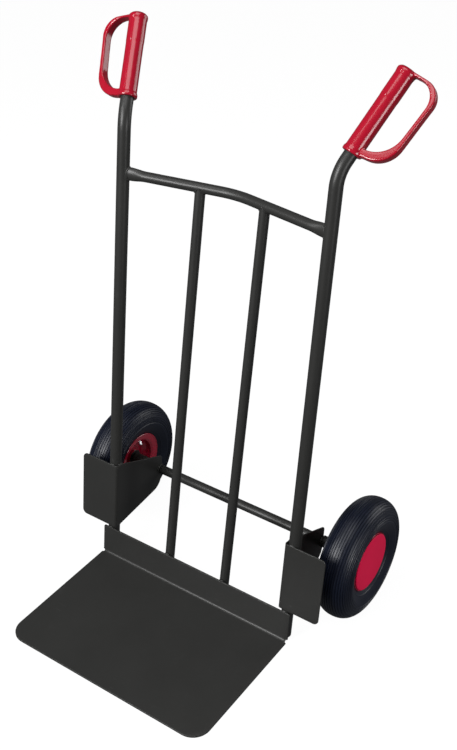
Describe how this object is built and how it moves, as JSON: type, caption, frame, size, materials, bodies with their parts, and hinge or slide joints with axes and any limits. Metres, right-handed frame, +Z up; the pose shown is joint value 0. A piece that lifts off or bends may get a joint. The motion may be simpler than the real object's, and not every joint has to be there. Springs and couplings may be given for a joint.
{
  "type": "hand truck",
  "caption": "Two-wheeled hand truck: a leaned tubular frame with handles and knuckle guards, a load plate, wheel guards and pneumatic wheels.",
  "frame": {"origin": "on the floor, under the middle of the whole truck's bounding box", "axes": "+Z up, +Y to the rear, where the handles and wheels are; -Y is the side that the load plate points to; X across the truck, along the axle"},
  "size_m": [0.6868, 0.609, 1.123],
  "materials": {
    "frame_paint": "satin anthracite powder coat",
    "grip_plastic": "glossy red moulded plastic",
    "cap_plastic": "red moulded plastic, slightly satin",
    "rim_paint": "gloss red paint on pressed steel",
    "tyre_rubber": "black ribbed rubber",
    "tube_rubber": "matt black butyl rubber",
    "zinc_steel": "zinc plated",
    "spring_steel": "blackened spring steel",
    "bearing_steel": "ground steel",
    "cage_plastic": "natural nylon",
    "valve_metal": "nickel plated brass"
  },
  "bodies": {
    "frame": {"left_upright": "frame_paint", "right_upright": "frame_paint", "crossbar": "frame_paint", "left_inner_bar": "frame_paint", "right_inner_bar": "frame_paint", "load_plate": "frame_paint", "left_wheel_guard": "frame_paint", "right_wheel_guard": "frame_paint", "axle": "frame_paint", "left_grip": "grip_plastic", "right_grip": "grip_plastic", "left_spacer": "frame_paint", "right_spacer": "frame_paint", "left_inner_washer": "spring_steel", "right_inner_washer": "spring_steel", "left_outer_washer": "zinc_steel", "right_outer_washer": "zinc_steel", "left_retaining_ring": "spring_steel", "right_retaining_ring": "spring_steel"},
    "left_wheel": {"left_tyre": "tyre_rubber", "left_inner_tube": "tube_rubber", "left_inner_rim": "rim_paint", "left_outer_rim": "rim_paint", "left_hub": "rim_paint", "left_hub_cap": "cap_plastic", "left_valve": "valve_metal", "left_valve_cap": "valve_metal"},
    "right_wheel": {"right_tyre": "tyre_rubber", "right_inner_tube": "tube_rubber", "right_inner_rim": "rim_paint", "right_outer_rim": "rim_paint", "right_hub": "rim_paint", "right_hub_cap": "cap_plastic", "right_valve": "valve_metal", "right_valve_cap": "valve_metal"},
    "left_cage": {"left_roller_cage": "cage_plastic", "left_rollers": "bearing_steel"},
    "right_cage": {"right_roller_cage": "cage_plastic", "right_rollers": "bearing_steel"}
  },
  "joints": [
    {"name": "left_wheel_spin", "type": "hinge", "parent": "frame", "child": "left_wheel", "pos_m": [-0.298, 0.1745, 0.13], "axis": [1, 0, 0], "continuous": true},
    {"name": "left_cage_spin", "type": "hinge", "parent": "frame", "child": "left_cage", "pos_m": [-0.298, 0.1745, 0.13], "axis": [1, 0, 0], "continuous": true},
    {"name": "right_wheel_spin", "type": "hinge", "parent": "frame", "child": "right_wheel", "pos_m": [0.298, 0.1745, 0.13], "axis": [1, 0, 0], "continuous": true},
    {"name": "right_cage_spin", "type": "hinge", "parent": "frame", "child": "right_cage", "pos_m": [0.298, 0.1745, 0.13], "axis": [1, 0, 0], "continuous": true}
  ],
  "couplings": [
    {"joint": "left_cage_spin", "follows": "left_wheel_spin", "ratio": 0.615},
    {"joint": "right_cage_spin", "follows": "right_wheel_spin", "ratio": 0.615}
  ]
}
